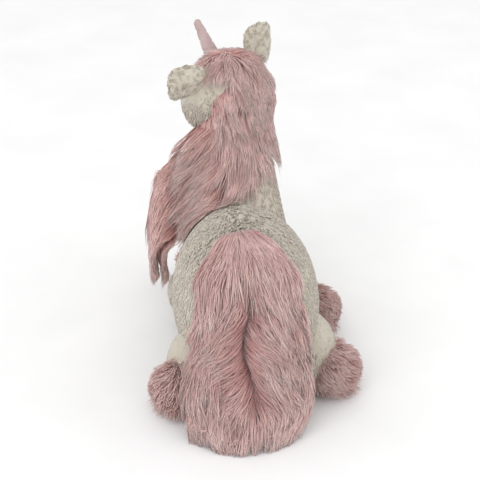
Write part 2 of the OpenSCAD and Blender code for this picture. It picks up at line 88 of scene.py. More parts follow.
UP = np.array([0, 0, 1.0])
neck_foot = seam("neck_bend")
head_middle = seam("head_turn")
neck_axis = unit(head_middle - neck_foot)
neck_length = np.linalg.norm(head_middle - neck_foot)
spine_side = unit(np.cross(neck_axis, [1.0, 0, 0]))
head_side = unit(np.array(joints["horn_wobble"]["axis"], float))
head_back = np.cross(UP, head_side)
print("neck", round(neck_length, 3), "m, head at", head_middle.round(3))

# %% [markdown]
# A skin is a grid of points: rows from one end of a part to the other, columns around it.
# The first and last rows shrink to a single point, which closes the ends, and the columns
# run round without a seam. Its faces must point outwards, so the volume's sign is checked.

# %% Grid skins


def volume(points, triangles):
    """Signed volume: a sixth of the sum of a . (b x c) over the triangles."""
    a, b, c = (points[triangles[:, k]] for k in range(3))
    return np.einsum("ij,ij->i", a, np.cross(b, c)).sum() / 6


def mesh_object(name, points, loops, starts, smooth=True):
    """A mesh from points, a flat list of corners and the first corner of each face."""
    mesh = bpy.data.meshes.new(name)
    mesh.vertices.add(len(points))
    mesh.vertices.foreach_set("co", np.asarray(points, np.float32).ravel())
    mesh.loops.add(len(loops))
    mesh.loops.foreach_set("vertex_index", np.asarray(loops, np.int32))
    mesh.polygons.add(len(starts))
    mesh.polygons.foreach_set("loop_start", np.asarray(starts, np.int32))
    mesh.update(calc_edges=True)
    mesh.polygons.foreach_set("use_smooth", np.full(len(starts), smooth))
    obj = bpy.data.objects.new(name, mesh)
    bpy.context.scene.collection.objects.link(obj)
    return obj


def skin(name, grid):
    """A closed surface from rows of columns, with a fan of triangles at each end."""
    n, m = grid.shape[:2]
    points = np.concatenate([grid[:1].mean(1), grid[1:-1].reshape(-1, 3), grid[-1:].mean(1)])
    ring = 1 + np.arange((n - 2) * m).reshape(n - 2, m)
    after = np.roll(ring, -1, axis=1)
    quads = np.stack([ring[:-1], after[:-1], after[1:], ring[1:]], -1).reshape(-1, 4)
    first = np.stack([np.zeros(m, int), after[0], ring[0]], -1)
    last = np.stack([np.full(m, len(points) - 1), ring[-1], after[-1]], -1)
    fans = np.concatenate([first, last])
    triangles = np.concatenate([quads[:, :3], quads[:, [0, 2, 3]], fans])
    if volume(points, triangles) < 0:
        quads, fans = quads[:, ::-1], fans[:, ::-1]
    loops = np.concatenate([quads.ravel(), fans.ravel()])
    starts = np.concatenate([np.arange(len(quads)) * 4, 4 * len(quads) + np.arange(len(fans)) * 3])
    return mesh_object(name, points, loops, starts)


# %% [markdown]
# The stuffed shapes are easiest to say as fields: a function that is negative inside the
# part and positive outside. Fields join smoothly, and fur can be kept outside of them.

# %% Fields of the stuffed parts
torso_low, torso_high = corners("torso_left_panel", "torso_right_panel", "belly_panel")
torso_half = (torso_high[1] - torso_low[1]) / 2
torso_wide = (torso_high[0] - torso_low[0]) / 2
torso_y = (torso_high[1] + torso_low[1]) / 2
rump_r = torso_high[2] / 2 + 0.005
chest_r = rump_r * 0.863
RUMP_AT, CHEST_AT, SQUARE = 0.10, -0.62, 2.3
torso_tilt = 0.6 * np.arctan((rump_r - chest_r) / (torso_half * (RUMP_AT - CHEST_AT)))
torso_z = torso_high[2] - rump_r - np.sin(torso_tilt) * torso_half * RUMP_AT
FUR = 0.0015
FLOOR_GAP = 0.0015


def ease(t):
    """Smooth step: 3 t^2 - 2 t^3 between 0 and 1."""
    t = np.clip(t, 0, 1)
    return t * t * (3 - 2 * t)


def girth(along):
    """Radius of the torso without its rounded ends, at a share of the half length."""
    return chest_r + (rump_r - chest_r) * ease((along - CHEST_AT) / (RUMP_AT - CHEST_AT))


def torso_frame(p):
    """A point's share along the torso, and its sideways and upward distances."""
    y, z = p[..., 1] - torso_y, p[..., 2] - torso_z
    along = (y * np.cos(torso_tilt) + z * np.sin(torso_tilt)) / torso_half
    up = z * np.cos(torso_tilt) - y * np.sin(torso_tilt)
    return along, p[..., 0] * rump_r / torso_wide, up


def torso_field(p):
    """Superellipse: (|along|^n + (radius / girth)^n)^(1/n) - 1, times the girth."""
    along, aside, up = torso_frame(p)
    radius = girth(along)
    share = np.hypot(aside, up) / radius
    return ((np.abs(along) ** SQUARE + share ** SQUARE) ** (1 / SQUARE) - 1) * radius


def cone_field(p, a, b, ra, rb):
    """A round cone: distance to the segment a-b less a radius that goes from ra to rb."""
    h = np.clip((p - a) @ (b - a) / ((b - a) @ (b - a)), 0, 1)
    return np.linalg.norm(p - a - h[..., None] * (b - a), axis=-1) - (ra + (rb - ra) * h)


def join(d, e, soft):
    """Smooth union of two fields, rounded over a distance."""
    h = np.clip(0.5 + 0.5 * (e - d) / soft, 0, 1)
    return e + (d - e) * h - soft * h * (1 - h)


# %% [markdown]
# The neck is a tapering tube whose foot flares into the shoulders. The head is a ball with
# a tapering muzzle and full cheeks, all joined softly, as stuffing rounds every seam.

# %% Neck and head fields
NECK_BASE, NECK_TOP, FLARE = 0.084, 0.050, 1.35
HEAD_R = 0.060
MUZZLE_ROOT_R, MUZZLE_R, MUZZLE_LENGTH = 0.044, 0.031, 0.086
CHEEK_R, CHEEK_OUT, CHEEK_AHEAD, CHEEK_DOWN = 0.046, 0.027, 0.014, 0.012
nose_dip = np.radians(14)
nose_dir = unit(-head_back * np.cos(nose_dip) - UP * np.sin(nose_dip))


def neck_radius(s):
    """Top radius plus the extra at the base, times (1 - share of the length)^flare."""
    share = np.clip(s / neck_length, 0, 1)
    return NECK_TOP + (NECK_BASE - NECK_TOP) * (1 - share) ** FLARE


def neck_field(p):
    """Distance from the neck's axis less its radius, closed at both ends."""
    q = p - neck_foot
    s = q @ neck_axis
    r = np.linalg.norm(q - s[..., None] * neck_axis, axis=-1)
    return np.maximum(r - neck_radius(s), np.maximum(-0.04 - s, s - neck_length))


def head_field(p):
    """Ball, muzzle and two cheeks, joined softly."""
    q = p - head_middle
    zero = np.zeros(3)
    d = np.linalg.norm(q, axis=-1) - HEAD_R
    muzzle = cone_field(q, zero, nose_dir * MUZZLE_LENGTH, MUZZLE_ROOT_R, MUZZLE_R)
    d = join(d, muzzle, 0.02)
    for side in (-1, 1):
        cheek = head_side * side * CHEEK_OUT - head_back * CHEEK_AHEAD - UP * CHEEK_DOWN
        d = join(d, np.linalg.norm(q - cheek, axis=-1) - CHEEK_R, 0.015)
    return d


def slope(field, p):
    """Outward direction of a field, from differences along the three axes."""
    e = 0.0015
    parts = [field(p + d) - field(p - d) for d in np.eye(3) * e]
    return unit(np.stack(parts, -1))


def blown(field, middle, rows=64, columns=96, pole=UP, side=(1.0, 0, 0), far=0.3):
    """The surface of a field seen from a middle point: along each direction of a globe of
    rows and columns, the distance where the field turns positive is found by halving."""
    pole = unit(pole)
    e1 = unit(np.asarray(side, float) - (np.asarray(side, float) @ pole) * pole)
    e2 = np.cross(pole, e1)
    a = np.pi * np.linspace(0, 1, rows)[:, None]
    b = 2 * np.pi * np.arange(columns)[None] / columns
    way = (np.sin(a) * np.cos(b))[..., None] * e1 + (np.sin(a) * np.sin(b))[..., None] * e2
    way = way + (np.cos(a) * np.ones_like(b))[..., None] * pole
    low, high = np.zeros(way.shape[:2]), np.full(way.shape[:2], far)
    for _ in range(22):
        half = (low + high) / 2
        inside = field(middle + way * half[..., None]) < 0
        low, high = np.where(inside, half, low), np.where(inside, high, half)
    return middle + way * low[..., None]


# %% [markdown]
# The torso's skin follows its field 1.5 mm inside, because the fur stands outside of it.
# The floor presses the belly flat.

# %% Torso skin grid


def torso_grid(rows=72, columns=96):
    """Rows from chest to rump at -cos(turn), columns around, shrunk by the fur's depth."""
    turn = np.pi * np.linspace(0, 1, rows)[:, None]
    round_ = 2 * np.pi * np.arange(columns)[None] / columns
    along = -np.cos(turn)
    end = np.maximum(0, 1 - np.abs(along) ** SQUARE) ** (1 / SQUARE)
    r = (girth(along) - FUR) * end
    x = r * np.cos(round_) * torso_wide / rump_r
    y = along * (torso_half - FUR) * np.ones_like(round_)
    z = r * np.sin(round_)
    c, s = np.cos(torso_tilt), np.sin(torso_tilt)
    p = np.stack([x, torso_y + y * c - z * s, torso_z + y * s + z * c], -1)
    p[..., 2] = np.maximum(p[..., 2], FLOOR_GAP)
    return p


torso_points = torso_grid()
print("torso skin", (torso_points.max((0, 1)) - torso_points.min((0, 1))).round(3))

# %% [markdown]
# A sewn and stuffed torso bulges between its seams. Cloth simulation gives that: the seams
# along the back, around the belly panel and at the tail's root are pinned, pressure blows
# the cloth up for a few frames, and no point may move further than a cap.

# %% Blow the torso up between its seams
tail_root = seam("tail_lift")
SEAM_CAP, BLOW_FRAMES, PRESSURE = 0.004, 16, 4


def blow_up(name, grid, held):
    """Cloth pressure on a grid skin with weights that hold it, capped, read back."""
    obj = skin(name, grid)
    count = len(obj.data.vertices)
    rest = np.zeros(count * 3, np.float32)
    obj.data.vertices.foreach_get("co", rest)
    rest = rest.reshape(-1, 3)
    weights = np.concatenate([[held[0].mean()], held[1:-1].ravel(), [held[-1].mean()]])
    group = obj.vertex_groups.new(name="held")
    for level in range(0, 11):
        chosen = np.flatnonzero(np.round(weights * 10) == level)
        group.add([int(v) for v in chosen], level / 10, "REPLACE")
    cloth = obj.modifiers.new("cloth", "CLOTH")
    cloth.settings.effector_weights.gravity = 0
    cloth.settings.use_pressure = True
    cloth.settings.uniform_pressure_force = PRESSURE
    cloth.settings.vertex_group_mass = "held"
    cloth.settings.quality = 5
    scene = bpy.context.scene
    for f in range(1, BLOW_FRAMES + 1):
        scene.frame_set(f)
    done = obj.evaluated_get(bpy.context.evaluated_depsgraph_get())
    moved = np.zeros(count * 3, np.float32)
    done.data.vertices.foreach_get("co", moved)
    move = moved.reshape(-1, 3) - rest
    size = np.linalg.norm(move, axis=1, keepdims=True)
    move *= np.minimum(1, SEAM_CAP / np.maximum(size, 1e-9))
    scene.frame_set(1)
    mesh = obj.data
    bpy.data.objects.remove(obj)
    bpy.data.meshes.remove(mesh)
    out = grid.copy()
    out[1:-1] += move[1:-1].reshape(grid.shape[0] - 2, -1, 3)
    print(name, "moved up to", round(float(np.linalg.norm(move, axis=1).max()) * 1000, 1), "mm")
    return out


def held_weights(p):
    """Near 1 on the back seam, the belly seam and the tail's root, and 0 between them."""
    spine = np.exp(-(p[..., 0] / 0.006) ** 2) * (p[..., 2] > 0.1)
    belly = np.exp(-((p[..., 2] - 0.030) / 0.006) ** 2)
    root = np.exp(-(np.linalg.norm(p - tail_root, axis=-1) / 0.03) ** 2)
    return np.clip(np.maximum(np.maximum(spine, belly), root) + (p[..., 2] < 0.02), 0, 1)


torso_points = blow_up("torso_cloth", torso_points, held_weights(torso_points))
torso_points[..., 2] = np.maximum(torso_points[..., 2], FLOOR_GAP)

# %% [markdown]
# The gathered seam at the tail's root draws the back into folds that run out like rays.

# %% Folds around the tail's root


def gathered(p, middle, depth=0.0060, reach=0.055, count=15):
    """Lowers points by a wave around a point: depth x (0.5 + 0.5 cos(angle)) x falloff, where
    the angle turns count times and strays a little."""
    q = p - middle
    far = np.linalg.norm(q, axis=-1)
    angle = np.arctan2(q[..., 0], -q[..., 1])
    wave = 0.5 + 0.5 * np.cos(count * angle + 2 * np.sin(3 * angle))
    fall = np.exp(-((far - 0.02) / reach) ** 2) * (p[..., 2] > 0.15)
    return p - (wave * fall * depth)[..., None] * slope(torso_field, p)


torso_points = gathered(torso_points, tail_root)

# %% [markdown]
# The other skins: the neck is a profile turned around its axis, the head is its field
# blown up from its middle, and each leg is a round cone from its seam to its foot, with a
# plump thigh or shoulder around the seam.

# %% Neck, head and leg grids


def neck_grid(rows=60, columns=72):
    """Radius from neck_radius, along the axis, with both ends closed to a point."""
    s = np.linspace(-0.035, neck_length + 0.015, rows)
    r = neck_radius(s) - 0.002
    r[0] = r[-1] = 0
    r[1], r[-2] = r[1] * 0.9, r[-2] * 0.8
    turn = 2 * np.pi * np.arange(columns)[None, :, None] / columns
    aside = np.cross(neck_axis, spine_side)
    out = np.cos(turn) * spine_side + np.sin(turn) * aside
    return neck_foot + s[:, None, None] * neck_axis + r[:, None, None] * out


def foot_middle(leg):
    """Middle of a long foot, found from its box and the way that the leg points."""
    low, high = corners(leg + "_foot_cover")
    start = seam(leg + "_leg_swing")
    middle = (low + high) / 2
    for _ in range(4):
        way = unit(middle - start)
        reach = np.sqrt(FOOT_SIDE ** 2 * (1 - way ** 2) + FOOT_END ** 2 * way ** 2)
        middle = np.where(way > 0, high - reach, low + reach)
    return middle


FOOT_SIDE, FOOT_END, ANKLE_R = 0.038, 0.045, 0.022
LEGS = {
    "front_left": (0.032, [0, 0, 0]), "front_right": (0.034, [0.006, 0, 0]),
    "hind_left": (0.044, [0.0, 0.004, 0.004]), "hind_right": (0.050, [0.0, 0.006, 0.010]),
}
feet = {leg: foot_middle(leg) for leg in LEGS}


def leg_field(leg):
    """A thigh ball and a cone to the ankle, joined softly, kept above the floor."""
    thigh, shift = LEGS[leg]
    start = seam(leg + "_leg_swing") + np.array(shift)
    foot = feet[leg]

    def field(p):
        d = np.linalg.norm((p - start) / [1, 1, 1.25], axis=-1) - thigh
        d = join(d, cone_field(p, start, foot, thigh * 0.8, ANKLE_R), 0.02)
        return np.maximum(d, 0.002 - p[..., 2])

    return field, start


neck_points = neck_grid()
head_points = blown(head_field, head_middle, 80, 112, pole=nose_dir, side=head_side)
leg_points = {}
for leg in LEGS:
    field, start = leg_field(leg)
    leg_points[leg] = blown(field, start, 40, 48, pole=unit(feet[leg] - start))
print("feet at", {leg: foot.round(3).tolist() for leg, foot in feet.items()})

# %% [markdown]
# Ears are cupped leaves: a flat oval section carried along the ear and bent around a
# cylinder, so that the ear opens to the front. One stands up, and the other droops.

# %% Ear grids
EAR_LENGTH, EAR_WIDTH, EAR_CUP = 0.066, 0.050, 0.044


def ear_grid(side, rows=40, columns=48):
    """Half width from a squared oval along the ear, thickness from a circle around it."""
    root = seam("left_ear_tilt" if side > 0 else "right_ear_tilt")
    along = unit(head_side * 0.94 - UP * 0.06) if side > 0 else unit(UP + head_side * 0.05)
    across = unit(np.cross(head_back, along))
    t = np.linspace(0, 1, rows)[:, None]
    off = np.where(t < 0.6, (0.6 - t) / 0.66, (t - 0.6) / 0.4)
    half = EAR_WIDTH / 2 * np.maximum(0, 1 - off ** 2.5) ** 0.4
    half[0] = half[-1] = 0
    turn = 2 * np.pi * np.arange(columns)[None] / columns
    x = half * np.cos(turn)
    thick = 0.0045 * np.minimum(1, half / 0.008) * (1 - 0.3 * t)
    crease = -0.0030 * np.exp(-((x - 0.008) / 0.0035) ** 2) * (np.sin(turn) > 0) * np.sin(np.pi * t)
    y = np.sqrt(EAR_CUP ** 2 - x ** 2) - EAR_CUP + 0.001 + thick * np.sin(turn) + crease
    lengthwise = EAR_LENGTH * t * np.ones_like(turn)
    if side > 0:
        y = y + 0.006 * ease((t - 0.55) / 0.45) * np.sin(turn) ** 2
    p = root + x[..., None] * across + y[..., None] * head_back + lengthwise[..., None] * along
    return p


ear_points = {"left": ear_grid(1), "right": ear_grid(-1)}
print("ears", {k: (v.max((0, 1)) - v.min((0, 1))).round(3).tolist() for k, v in ear_points.items()})

# %% [markdown]
# The horn is a cone of satin. Rings of hand stitching pull it in a little, so its outline
# is a straight taper with shallow waves that wind upwards, and a round tip.

# %% Horn grid
horn_root = seam("horn_wobble")
horn_dir = unit(-head_back * np.cos(np.radians(44)) + UP * np.sin(np.radians(44)))


def horn_grid(rows=90, columns=48):
    """Radius tapers from 13 to 6 mm, less a narrow groove that climbs as it turns."""
    length, base, tip = 0.070, 0.0130, 0.0060
    s = np.linspace(-0.006, length, rows)[:, None]
    turn = 2 * np.pi * np.arange(columns)[None] / columns
    share = np.clip(s / (length - tip), 0, 1)
    r = base + (tip - base) * share
    r = r * np.sqrt(np.clip(1 - np.clip((s - length + tip) / tip, 0, 1) ** 2, 0, 1))
    groove = np.abs(np.cos(np.pi * (s / 0.017 + turn / (2 * np.pi)))) ** 14
    wrinkle = 0.0002 * np.sin(9 * turn + 40 * s / length) * np.sin(60 * s / length)
    r = r - (0.0010 * groove + wrinkle) * (r > 0.003)
    r[0], r[-1] = 0, 0
    across = np.cross(horn_dir, head_side)
    out = np.cos(turn)[..., None] * head_side + np.sin(turn)[..., None] * across
    return horn_root + s[..., None] * horn_dir + r[..., None] * out


horn_points = horn_grid()
print("horn tip at", horn_points[-1].mean(0).round(3))

# %% [markdown]
# Plush is dyed fabric: no two square centimetres have the same shade, and the pile makes a
# fine grain. So each fabric mixes two shades with a coarse noise, adds a grain to the
# surface with a fine one, and has a sheen, which is what gives velvet its pale edges.

# %% Materials


class Finish:
    """A material with short helpers for its nodes."""

    def __init__(self, name, roughness=0.9, sheen=0.0, sheen_roughness=0.5):
        self.material = bpy.data.materials.new(name)
        self.material.use_nodes = True
        self.tree = self.material.node_tree
        self.shader = self.tree.nodes["Principled BSDF"]
        self.shader.inputs["Roughness"].default_value = roughness
        self.shader.inputs["Sheen Weight"].default_value = sheen
        self.shader.inputs["Sheen Roughness"].default_value = sheen_roughness

    def node(self, kind, **settings):
        """A new node with its settings."""
        made = self.tree.nodes.new("ShaderNode" + kind)
        for key, value in settings.items():
            setattr(made, key, value)
        return made

    def link(self, source, target):
        self.tree.links.new(source, target)

    def noise(self, scale, detail=3.0, roughness=0.55):
        """Noise on the object's own coordinates, in features per metre."""
        where = self.node("TexCoord")
        made = self.node("TexNoise")
        made.inputs["Scale"].default_value = scale
        made.inputs["Detail"].default_value = detail
        made.inputs["Roughness"].default_value = roughness
        self.link(where.outputs["Object"], made.inputs["Vector"])
        return made.outputs["Fac"]

    def ramp(self, source, stops):
        """Colours along a value: stops are (position, colour)."""
        made = self.node("ValToRGB")
        elements = made.color_ramp.elements
        elements[0].position, elements[0].color = stops[0][0], (*stops[0][1], 1)
        elements[1].position, elements[1].color = stops[-1][0], (*stops[-1][1], 1)
        for position, colour in stops[1:-1]:
            elements.new(position).color = (*colour, 1)
        self.link(source, made.inputs["Fac"])
        return made.outputs["Color"]

    def mix(self, kind, share, a, b):
        """Two colours mixed; share is a number or an output."""
        made = self.node("Mix", data_type="RGBA", blend_type=kind)
        if isinstance(share, (int, float)):
            made.inputs["Factor"].default_value = share
        else:
            self.link(share, made.inputs["Factor"])
        self.link(a, made.inputs["A"])
        self.link(b, made.inputs["B"])
        return made.outputs["Result"]

    def bump(self, height, strength, distance):
        """Raises the surface by a height."""
        made = self.node("Bump")
        made.inputs["Strength"].default_value = strength
        made.inputs["Distance"].default_value = distance
        self.link(height, made.inputs["Height"])
        self.link(made.outputs["Normal"], self.shader.inputs["Normal"])

    def colour(self, output):
        self.link(output, self.shader.inputs["Base Color"])


CREAM_DEEP, CREAM_PALE, CREAM_TIP = (0.55, 0.50, 0.41), (0.61, 0.56, 0.47), (0.67, 0.62, 0.53)
# The dark rose at the root is painted shade deep in the long pile; the rose backing also uses it as its
# deeper random tone.
ROSE_ROOT_SHADE, ROSE_MIDDLE = (0.50, 0.22, 0.20), (0.66, 0.40, 0.375)
ROSE_TIP, ROSE_END = (0.78, 0.58, 0.55), (0.82, 0.68, 0.64)


def plush(name, pale=CREAM_PALE, deep=CREAM_DEEP, dyed=True):
    """Short pile: two shades, a grain, and rose where the long pile is rooted, darkened there as painted
    shade under the pile.
    """
    f = Finish(name, 0.95, 0.25)
    shade = f.ramp(f.noise(22, 4), [(0.32, deep), (0.68, pale)])
    grain = f.ramp(f.noise(900, 2), [(0.3, (0.92, 0.92, 0.92)), (0.7, (1, 1, 1))])
    shade = f.mix("MULTIPLY", 1.0, shade, grain)
    if dyed:
        # Under the long pile the skin gets the dark root rose: painted shade under the pile.
        root = f.ramp(f.noise(60, 3), [(0.3, ROSE_ROOT_SHADE), (0.7, ROSE_MIDDLE)])
        mask = f.node("Attribute", attribute_name="rose")
        shade = f.mix("MIX", mask.outputs["Fac"], shade, root)
    f.colour(shade)
    f.bump(f.noise(700, 3), 0.3, 0.001)
    return f.material


def locks(name, stops, spread=0.17, patches=True):
    """Long pile: root to tip along v, where a dark root is painted shade deep in the pile, one shade for
    each lock along u, and patches.
    """
    f = Finish(name, 0.8, 0.5, 0.5)
    where = f.node("UVMap", uv_map="OFBake")
    parts = f.node("SeparateXYZ")
    f.link(where.outputs["UV"], parts.inputs["Vector"])
    shade = f.ramp(parts.outputs["Y"], stops)
    low = 1 - spread
    dark, usual, light = (low, low * low, low * low), (0.95, 0.92, 0.91), (1.06, 1.08, 1.08)
    each = f.ramp(parts.outputs["X"], [(0.0, dark), (0.45, usual), (1.0, light)])
    shade = f.mix("MULTIPLY", 1.0, shade, each)
    if patches:
        patch = f.ramp(f.noise(26, 3), [(0.36, (0.86, 0.78, 0.77)), (0.62, (1, 1, 1))])
        shade = f.mix("MULTIPLY", 1.0, shade, patch)
    f.colour(shade)
    return f.material


cream_plush = plush("cream_plush")
cream_stops = [(0, CREAM_PALE), (0.6, CREAM_PALE), (1, CREAM_TIP)]
cream_tufts = locks("cream_tufts", cream_stops, 0.10, False)
# The rose pile is dark at the root as painted shade in the pile, and pales towards the tips.
rose_stops = [(0, ROSE_ROOT_SHADE), (0.3, ROSE_MIDDLE), (0.8, ROSE_TIP), (1, ROSE_END)]
rose_pile = locks("rose_pile", rose_stops)
rose_backing = plush("rose_backing", ROSE_MIDDLE, ROSE_ROOT_SHADE, False)
print("fabrics:", [m.name for m in bpy.data.materials if m.use_nodes][-4:])

# %% [markdown]
# The horn's satin is smoother and shinier than plush, the eyes are gloss plastic, and the
# embroidery is twisted thread, whose twist is a fine wave.

# %% Satin, plastic and thread


def satin():
    f = Finish("horn_satin", 0.42, 0.35, 0.3)
    shade = f.ramp(f.noise(45, 3), [(0.3, (0.42, 0.30, 0.29)), (0.7, (0.54, 0.42, 0.41))])
    f.colour(shade)
    f.bump(f.noise(320, 4), 0.35, 0.0006)
    return f.material


def plastic(name, dark, light, roughness, coat):
    f = Finish(name, roughness)
    f.shader.inputs["Coat Weight"].default_value = coat
    f.colour(f.ramp(f.noise(120, 2), [(0.3, dark), (0.7, light)]))
    return f.material


def twisted(name, dark, light):
    f = Finish(name, 0.55, 0.2)
    f.colour(f.ramp(f.noise(1400, 1), [(0.35, dark), (0.65, light)]))
    f.bump(f.noise(1600, 1), 0.5, 0.0004)
    return f.material


horn_satin = satin()
eye_gloss = plastic("eye_gloss", (0.012, 0.008, 0.007), (0.03, 0.02, 0.016), 0.12, 1.0)
washer_matt = plastic("washer_matt", (0.60, 0.59, 0.56), (0.68, 0.67, 0.64), 0.5, 0.0)
rose_thread = twisted("rose_thread", (0.30, 0.12, 0.12), (0.46, 0.22, 0.22))

# %% [markdown]
# A lock of fur is a closed three-sided strand: rings of three points along a line, a base
# triangle, and a point at the tip. Thousands of them are made at once as whole arrays. The
# map beside them holds a lock's own shade and the share of the way from root to tip.

# %% Locks of fur


def fur(name, lines, width, shade, taper=0.75, flat=0.55):
    """lines is (locks, rings + tip, 3), width (locks,), shade (locks,) from 0 to 1.
    A ring's radius is width x (1 - share^2)^taper, flattened across the surface."""
    count, steps = lines.shape[:2]
    rings = steps - 1
    way = unit(np.gradient(lines, axis=1))
    side = unit(np.cross(way, np.array([0.31, 0.23, 0.92]) + 0 * way))
    over = np.cross(side, way)
    share = np.linspace(0, 1, steps)[:rings]
    radius = width[:, None] * (1 - share ** 2)[None] ** taper
    corner = np.radians([90, 210, 330])
    ring = lines[:, :rings, None, :] + radius[:, :, None, None] * (
        np.cos(corner)[:, None] * side[:, :rings, None, :]
        + flat * np.sin(corner)[:, None] * over[:, :rings, None, :])
    points = np.concatenate([ring.reshape(count, -1, 3), lines[:, -1:]], 1)
    per = 3 * rings + 1
    k = np.arange(3)
    after = (k + 1) % 3
    base = (np.arange(rings - 1) * 3)[:, None]
    quads = np.stack([base + k, base + after, base + 3 + after, base + 3 + k], -1).reshape(-1, 4)
    top = 3 * (rings - 1)
    tips = np.stack([top + k, top + after, np.full(3, per - 1)], -1)
    threes = np.concatenate([[[2, 1, 0]], tips])
    one = np.concatenate([quads.ravel(), threes.ravel()])
    sizes = np.concatenate([np.full(len(quads), 4), np.full(len(threes), 3)])
    loops = (one[None] + (np.arange(count) * per)[:, None]).ravel()
    starts = np.concatenate([[0], np.cumsum(np.tile(sizes, count))[:-1]])
    obj = mesh_object(name, points.reshape(-1, 3), loops, starts)
    v_of = np.concatenate([np.repeat(share, 3), [1.0]])
    uv = np.stack([np.repeat(shade[:, None], len(one), 1), np.tile(v_of[one], (count, 1))], -1)
    obj.data.uv_layers.new(name="OFBake").data.foreach_set("uv", uv.astype(np.float32).ravel())
    print(name, count, "locks,", count * (6 * (rings - 1) + 4), "triangles")
    return obj


# %% [markdown]
# Fur on a skin starts at points spread evenly over its area. A lock leans the way that
# the pile is brushed, and a field keeps all of it outside of the body.

# %% Where locks start and how they lie


def scatter(grid, count):
    """Random points on a grid skin, as many on each square as its area asks for."""
    n, m = grid.shape[:2]
    after = np.roll(grid, -1, axis=1)
    across, along = after[:-1] - grid[:-1], grid[1:] - grid[:-1]
    turned = np.cross(across, along)
    area = np.linalg.norm(turned, axis=-1).ravel()
    cell = random.choice(area.size, count, p=area / area.sum())
    i, j = cell // m, cell % m
    a, b = random.random((2, count, 1))
    near = grid[i, j] * (1 - a) + grid[i + 1, j] * a
    far = after[i, j] * (1 - a) + after[i + 1, j] * a
    p = near * (1 - b) + far * b
    normal = unit(turned[i, j])
    middle = grid.mean((0, 1))
    if np.einsum("ij,ij->i", p - middle, normal).mean() < 0:
        normal = -normal
    return p, normal


def combed(p, normal, flow, length, lift, field, steps, cling, above, rise=0.0, loose=0.008):
    """Lines that start at p and go on in equal steps. Each step turns towards flow(point),
    less its inward part where the line is close to the surface. A step that ends too deep is
    pushed out to its height above the field, and one that ends too far out is drawn halfway
    back."""
    first = flow(p)
    first = first - np.minimum(0, np.einsum("ij,ij->i", first, normal))[:, None] * normal
    way = unit(unit(first) * (1 - lift) + normal * lift)
    lines = [p]
    step = (length / (steps - 1))[:, None]
    wanted = above
    for k in range(1, steps):
        turned = unit(flow(lines[-1]))
        face = slope(field, lines[-1])
        inward = np.minimum(0, np.einsum("ij,ij->i", turned, face)) * (field(lines[-1]) < wanted + 0.010)
        way = unit(way * (1 - cling) + (turned - inward[:, None] * face) * cling)
        q = lines[-1] + way * step
        wanted = above + rise * k / (steps - 1)
        for _ in range(2):
            high = field(q)
            move = np.maximum(0, wanted - high) - 0.5 * np.maximum(0, high - wanted - loose)
            q = q + move[:, None] * slope(field, q)
        lines.append(q)
    return np.stack(lines, 1)


def clumps(p, size, strength):
    """A random direction for each cell of a grid in space, so that neighbours lean alike."""
    cell = np.floor(p / size + 100).astype(int)
    seed = (cell[:, 0] * 73856093) ^ (cell[:, 1] * 19349663) ^ (cell[:, 2] * 83492791)
    turns = np.stack([np.sin(seed * 0.61803), np.sin(seed * 1.7321), np.sin(seed * 2.2361)], -1)
    return turns * strength


def wavy(lines, amount):
    """Adds a slow wave across each lock, growing towards the tip, and a little jitter."""
    count, steps = lines.shape[:2]
    t = np.linspace(0, 1, steps)[None, :, None]
    phase = random.random((count, 1, 1)) * 2 * np.pi
    way = random.normal(size=(count, 1, 3))
    lines = lines + amount * np.sin(phase + 4 * t) * t * way
    lines[..., 2] = np.maximum(lines[..., 2], 0.0012)
    return lines


# %% [markdown]
# Short pile first. It is dense and lies flat, brushed from the nose towards the tail, so
# its locks are short and wide, and they only show at outlines and as a soft grain.

# %% Cream skins and their short pile


def rearwards(p):
    """Brushed towards the tail and down."""
    return np.broadcast_to(np.array([0, 0.55, -0.8]), p.shape) + clumps(p, 0.014, 0.15)


def short_fur(name, grid, count, field, keep=None, length=0.0075, flow=rearwards, lift=0.12,
              width=0.0011):
    """Tufts over a skin, at places that keep() allows, and none near the floor."""
    p, normal = scatter(grid, count)
    chosen = p[:, 2] > 0.012
    if keep is not None:
        chosen &= keep(p)
    p, normal = p[chosen] - normal[chosen] * 0.001, normal[chosen]
    long = length * (0.7 + 0.6 * random.random(len(p)))
    lines = combed(p, normal, flow, long, lift, field, 3, 0.5, -0.0004)
    obj = fur(name, lines, width * (1 + 0.5 * random.random(len(p))), random.random(len(p)), 0.75, 0.2)
    obj.data.materials.append(cream_tufts)
    return obj


def paint(obj, shares):
    """Stores how rose each point is, as an attribute that the material reads."""
    made = obj.data.attributes.new("rose", "FLOAT", "POINT")
    made.data.foreach_set("value", shares.astype(np.float32))


def points_of(obj):
    out = np.zeros(len(obj.data.vertices) * 3, np.float32)
    obj.data.vertices.foreach_get("co", out)
    return out.reshape(-1, 3).astype(float)


# %% [markdown]
# The long pile has its own borders: over the head it runs in a strip between the ears that
# widens at the nape, and down the neck it covers the back and the left side.

# %% Borders of the long pile


def head_share(p):
    """Positive inside the strip of long pile on the head, in metres from its border."""
    q = p - head_middle
    aside, back, up = q @ head_side, q @ head_back, q[..., 2]
    behind = 0.050 + (0.026 - 0.050) * ease((up - 0.008) / 0.034)
    before = 0.024 - 0.010 * ease((-back - 0.02) / 0.035)
    limit = np.where(back > 0, behind, before)
    limit = np.where((back < 0) & (up < 0.026), -0.01, limit)
    return limit - np.abs(aside)


def neck_turn(p):
    """Angle around the neck from the spine, positive to the left, and height on it."""
    q = p - neck_foot
    aside = np.cross(neck_axis, spine_side)
    angle = np.degrees(np.arctan2(q @ aside, q @ spine_side))
    return (angle if aside[0] > 0 else -angle), q @ neck_axis


def neck_share(p):
    """Positive inside the long pile on the neck: a wide band that narrows on the right."""
    turn, s = neck_turn(p)
    low = 0.108 + 0.070 * ease((-turn - 5) / 55) - 0.045 * ease(turn / 60)
    inside = np.minimum((82 - turn) / 82, (turn + 84) / 84) * 0.05
    return np.minimum(inside, (s - low) * 0.8)


